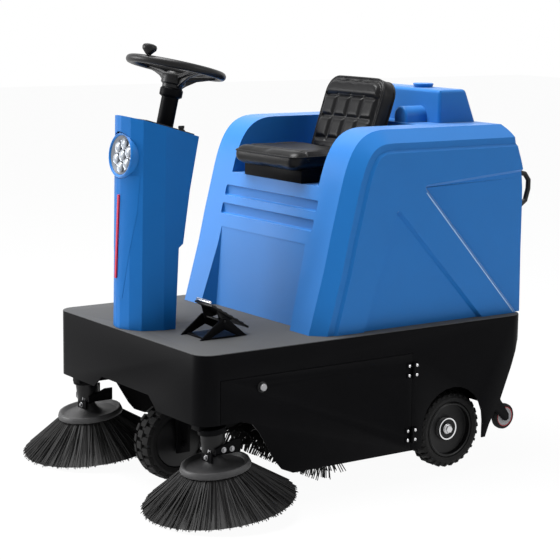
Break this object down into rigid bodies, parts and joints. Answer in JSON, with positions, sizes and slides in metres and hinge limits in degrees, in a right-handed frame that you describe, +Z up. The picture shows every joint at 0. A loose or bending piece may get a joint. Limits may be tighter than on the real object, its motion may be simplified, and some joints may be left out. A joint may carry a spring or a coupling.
{
  "type": "ride on sweeper",
  "caption": "Compact three-wheeled ride-on floor sweeper with side brushes, main broom, dust bin, steering column and padded seat on a tilting hood.",
  "frame": {"origin": "on the floor, under the centre of the machine's bounding box", "axes": "+Z up, -Y the way the machine drives, +X the driver's left"},
  "size_m": [1.294, 1.5341, 1.4334],
  "materials": {
    "blue_shell": "satin blue moulding",
    "black_coat": "satin black powder coat",
    "grey_mat": "matte grey mat",
    "bare_steel": "plain steel",
    "black_steel": "black painted steel",
    "tyre_rubber": "black rubber",
    "bristle": "black nylon bristles",
    "disc_plastic": "dark grey plastic",
    "black_plastic": "black plastic",
    "black_vinyl": "glossy black vinyl",
    "clear_lens": "clear lens over white reflectors",
    "red_lens": "crimson plastic",
    "grey_plastic": "grey plastic"
  },
  "bodies": {
    "chassis": {"chassis_frame": "black_steel", "body_shell": "black_coat", "deck_mat": "grey_mat", "left_lower_hinge": "black_steel", "left_upper_hinge": "black_steel", "right_lower_hinge": "black_steel", "right_upper_hinge": "black_steel", "column_cover": "blue_shell", "dash_panel": "black_plastic", "headlight_bezel": "blue_shell", "headlight_lens": "clear_lens", "light_strip": "red_lens", "steering_tube": "black_steel", "steering_chain": "bare_steel", "left_rear_axle": "bare_steel", "right_rear_axle": "bare_steel", "battery_pack": "grey_plastic", "filter_cartridge": "grey_plastic", "vacuum_fan": "black_plastic", "pedal_bracket": "black_steel"},
    "steering": {"steering_wheel": "black_plastic", "steering_shaft": "bare_steel"},
    "knob": {"steering_knob": "black_plastic"},
    "lower_shaft": {"lower_steering_shaft": "bare_steel"},
    "fork": {"steering_fork": "black_steel"},
    "front_wheel": {"front_tyre": "tyre_rubber", "front_hub_motor": "black_plastic"},
    "broom_carrier": {"main_broom_arm": "black_steel"},
    "broom": {"main_broom_core": "black_plastic", "main_broom_bristles": "bristle"},
    "bin": {"dust_bin": "black_coat"},
    "seat_hood": {"hood": "blue_shell", "seat_pan": "black_plastic", "seat_cushion": "black_vinyl", "seat_back": "black_vinyl", "rear_housing": "blue_shell", "rear_handle": "black_plastic"},
    "cap": {"filler_cap": "blue_shell"},
    "key": {"key_switch": "black_plastic"},
    "horn": {"horn_button": "red_lens"},
    "drive_pedal": {"pedal": "black_plastic"},
    "left_wheel": {"left_rear_rim": "black_plastic", "left_rear_tyre": "tyre_rubber"},
    "left_arm": {"left_brush_arm": "black_steel", "left_brush_motor": "black_steel"},
    "left_brush": {"left_brush_disc": "disc_plastic", "left_brush_bristles": "bristle"},
    "left_side_door": {"left_door": "black_coat"},
    "left_lock": {"left_door_lock": "bare_steel"},
    "left_caster": {"left_caster_wheel": "grey_plastic"},
    "right_wheel": {"right_rear_rim": "black_plastic", "right_rear_tyre": "tyre_rubber"},
    "right_arm": {"right_brush_arm": "black_steel", "right_brush_motor": "black_steel"},
    "right_brush": {"right_brush_disc": "disc_plastic", "right_brush_bristles": "bristle"},
    "right_side_door": {"right_door": "black_coat"},
    "right_lock": {"right_door_lock": "bare_steel"},
    "right_caster": {"right_caster_wheel": "grey_plastic"}
  },
  "joints": [
    {"name": "steering_turn", "type": "hinge", "parent": "chassis", "child": "steering", "pos_m": [-0.058, -0.39892, 1.3545], "axis": [0, 0.225, 0.9744], "range_deg": [-165, 165]},
    {"name": "knob_spin", "type": "hinge", "parent": "steering", "child": "knob", "pos_m": [-0.00618, -0.53453, 1.39997], "axis": [0, 0.225, 0.9744], "continuous": true},
    {"name": "lower_shaft_turn", "type": "hinge", "parent": "chassis", "child": "lower_shaft", "pos_m": [-0.058, -0.53792, 0.6], "axis": [0, 0, 1], "range_deg": [-165, 165]},
    {"name": "fork_yaw", "type": "hinge", "parent": "chassis", "child": "fork", "pos_m": [0, -0.44192, 0.3], "axis": [0, 0, 1], "range_deg": [-55, 55]},
    {"name": "front_wheel_spin", "type": "hinge", "parent": "fork", "child": "front_wheel", "pos_m": [0, -0.44192, 0.133], "axis": [1, 0, 0], "continuous": true},
    {"name": "broom_lift", "type": "hinge", "parent": "chassis", "child": "broom_carrier", "pos_m": [0, 0.17208, 0.4], "axis": [-1, 0, 0], "range_deg": [0, 8]},
    {"name": "broom_spin", "type": "hinge", "parent": "broom_carrier", "child": "broom", "pos_m": [0, -0.02792, 0.14], "axis": [1, 0, 0], "continuous": true},
    {"name": "bin_slide", "type": "slide", "parent": "chassis", "child": "bin", "axis": [0, 1, 0], "range_m": [0, 0.45]},
    {"name": "hood_tilt", "type": "hinge", "parent": "chassis", "child": "seat_hood", "pos_m": [0, 0.72208, 0.505], "axis": [-1, 0, 0], "range_deg": [0, 50]},
    {"name": "cap_lift", "type": "slide", "parent": "seat_hood", "child": "cap", "axis": [0, 0, 1], "range_m": [0, 0.05]},
    {"name": "key_turn", "type": "hinge", "parent": "chassis", "child": "key", "pos_m": [0.008, -0.42161, 1.15682], "axis": [0, 0.284, 0.9588], "range_deg": [0, 60]},
    {"name": "horn_press", "type": "slide", "parent": "chassis", "child": "horn", "axis": [0, -0.284, -0.9588], "range_m": [0, 0.003], "stiffness_N_per_m": 300, "springref_m": -0.001},
    {"name": "pedal_press", "type": "hinge", "parent": "chassis", "child": "drive_pedal", "pos_m": [0.2, -0.41292, 0.572], "axis": [1, 0, 0], "range_deg": [0, 12], "stiffness_Nm_per_rad": 8, "springref_deg": -5.73},
    {"name": "left_wheel_spin", "type": "hinge", "parent": "chassis", "child": "left_wheel", "pos_m": [0.365, 0.42308, 0.133], "axis": [1, 0, 0], "continuous": true},
    {"name": "left_brush_lift", "type": "hinge", "parent": "chassis", "child": "left_arm", "pos_m": [0.357, -0.32792, 0.33], "axis": [-1, 0, 0], "range_deg": [0, 12]},
    {"name": "left_brush_spin", "type": "hinge", "parent": "left_arm", "child": "left_brush", "pos_m": [0.397, -0.51792, 0.03363], "axis": [0, -0.1305, 0.9914], "continuous": true},
    {"name": "left_door_swing", "type": "hinge", "parent": "chassis", "child": "left_side_door", "pos_m": [0.4645, 0.20108, 0], "axis": [0, 0, 1], "range_deg": [0, 110]},
    {"name": "left_lock_turn", "type": "hinge", "parent": "left_side_door", "child": "left_lock", "pos_m": [0.457, -0.40392, 0.399], "axis": [1, 0, 0], "range_deg": [0, 90]},
    {"name": "left_caster_spin", "type": "hinge", "parent": "bin", "child": "left_caster", "pos_m": [0.34, 0.72008, 0.128], "axis": [1, 0, 0], "continuous": true},
    {"name": "right_wheel_spin", "type": "hinge", "parent": "chassis", "child": "right_wheel", "pos_m": [-0.365, 0.42308, 0.133], "axis": [1, 0, 0], "continuous": true},
    {"name": "right_brush_lift", "type": "hinge", "parent": "chassis", "child": "right_arm", "pos_m": [-0.357, -0.32792, 0.33], "axis": [-1, 0, 0], "range_deg": [0, 12]},
    {"name": "right_brush_spin", "type": "hinge", "parent": "right_arm", "child": "right_brush", "pos_m": [-0.397, -0.51792, 0.03363], "axis": [0, -0.1305, 0.9914], "continuous": true},
    {"name": "right_door_swing", "type": "hinge", "parent": "chassis", "child": "right_side_door", "pos_m": [-0.4645, 0.20108, 0], "axis": [0, 0, -1], "range_deg": [0, 110]},
    {"name": "right_lock_turn", "type": "hinge", "parent": "right_side_door", "child": "right_lock", "pos_m": [-0.457, -0.40392, 0.399], "axis": [-1, 0, 0], "range_deg": [0, 90]},
    {"name": "right_caster_spin", "type": "hinge", "parent": "bin", "child": "right_caster", "pos_m": [-0.34, 0.72008, 0.128], "axis": [1, 0, 0], "continuous": true}
  ],
  "couplings": [
    {"joint": "lower_shaft_turn", "follows": "steering_turn", "ratio": 1},
    {"joint": "fork_yaw", "follows": "steering_turn", "ratio": 0.33333}
  ]
}
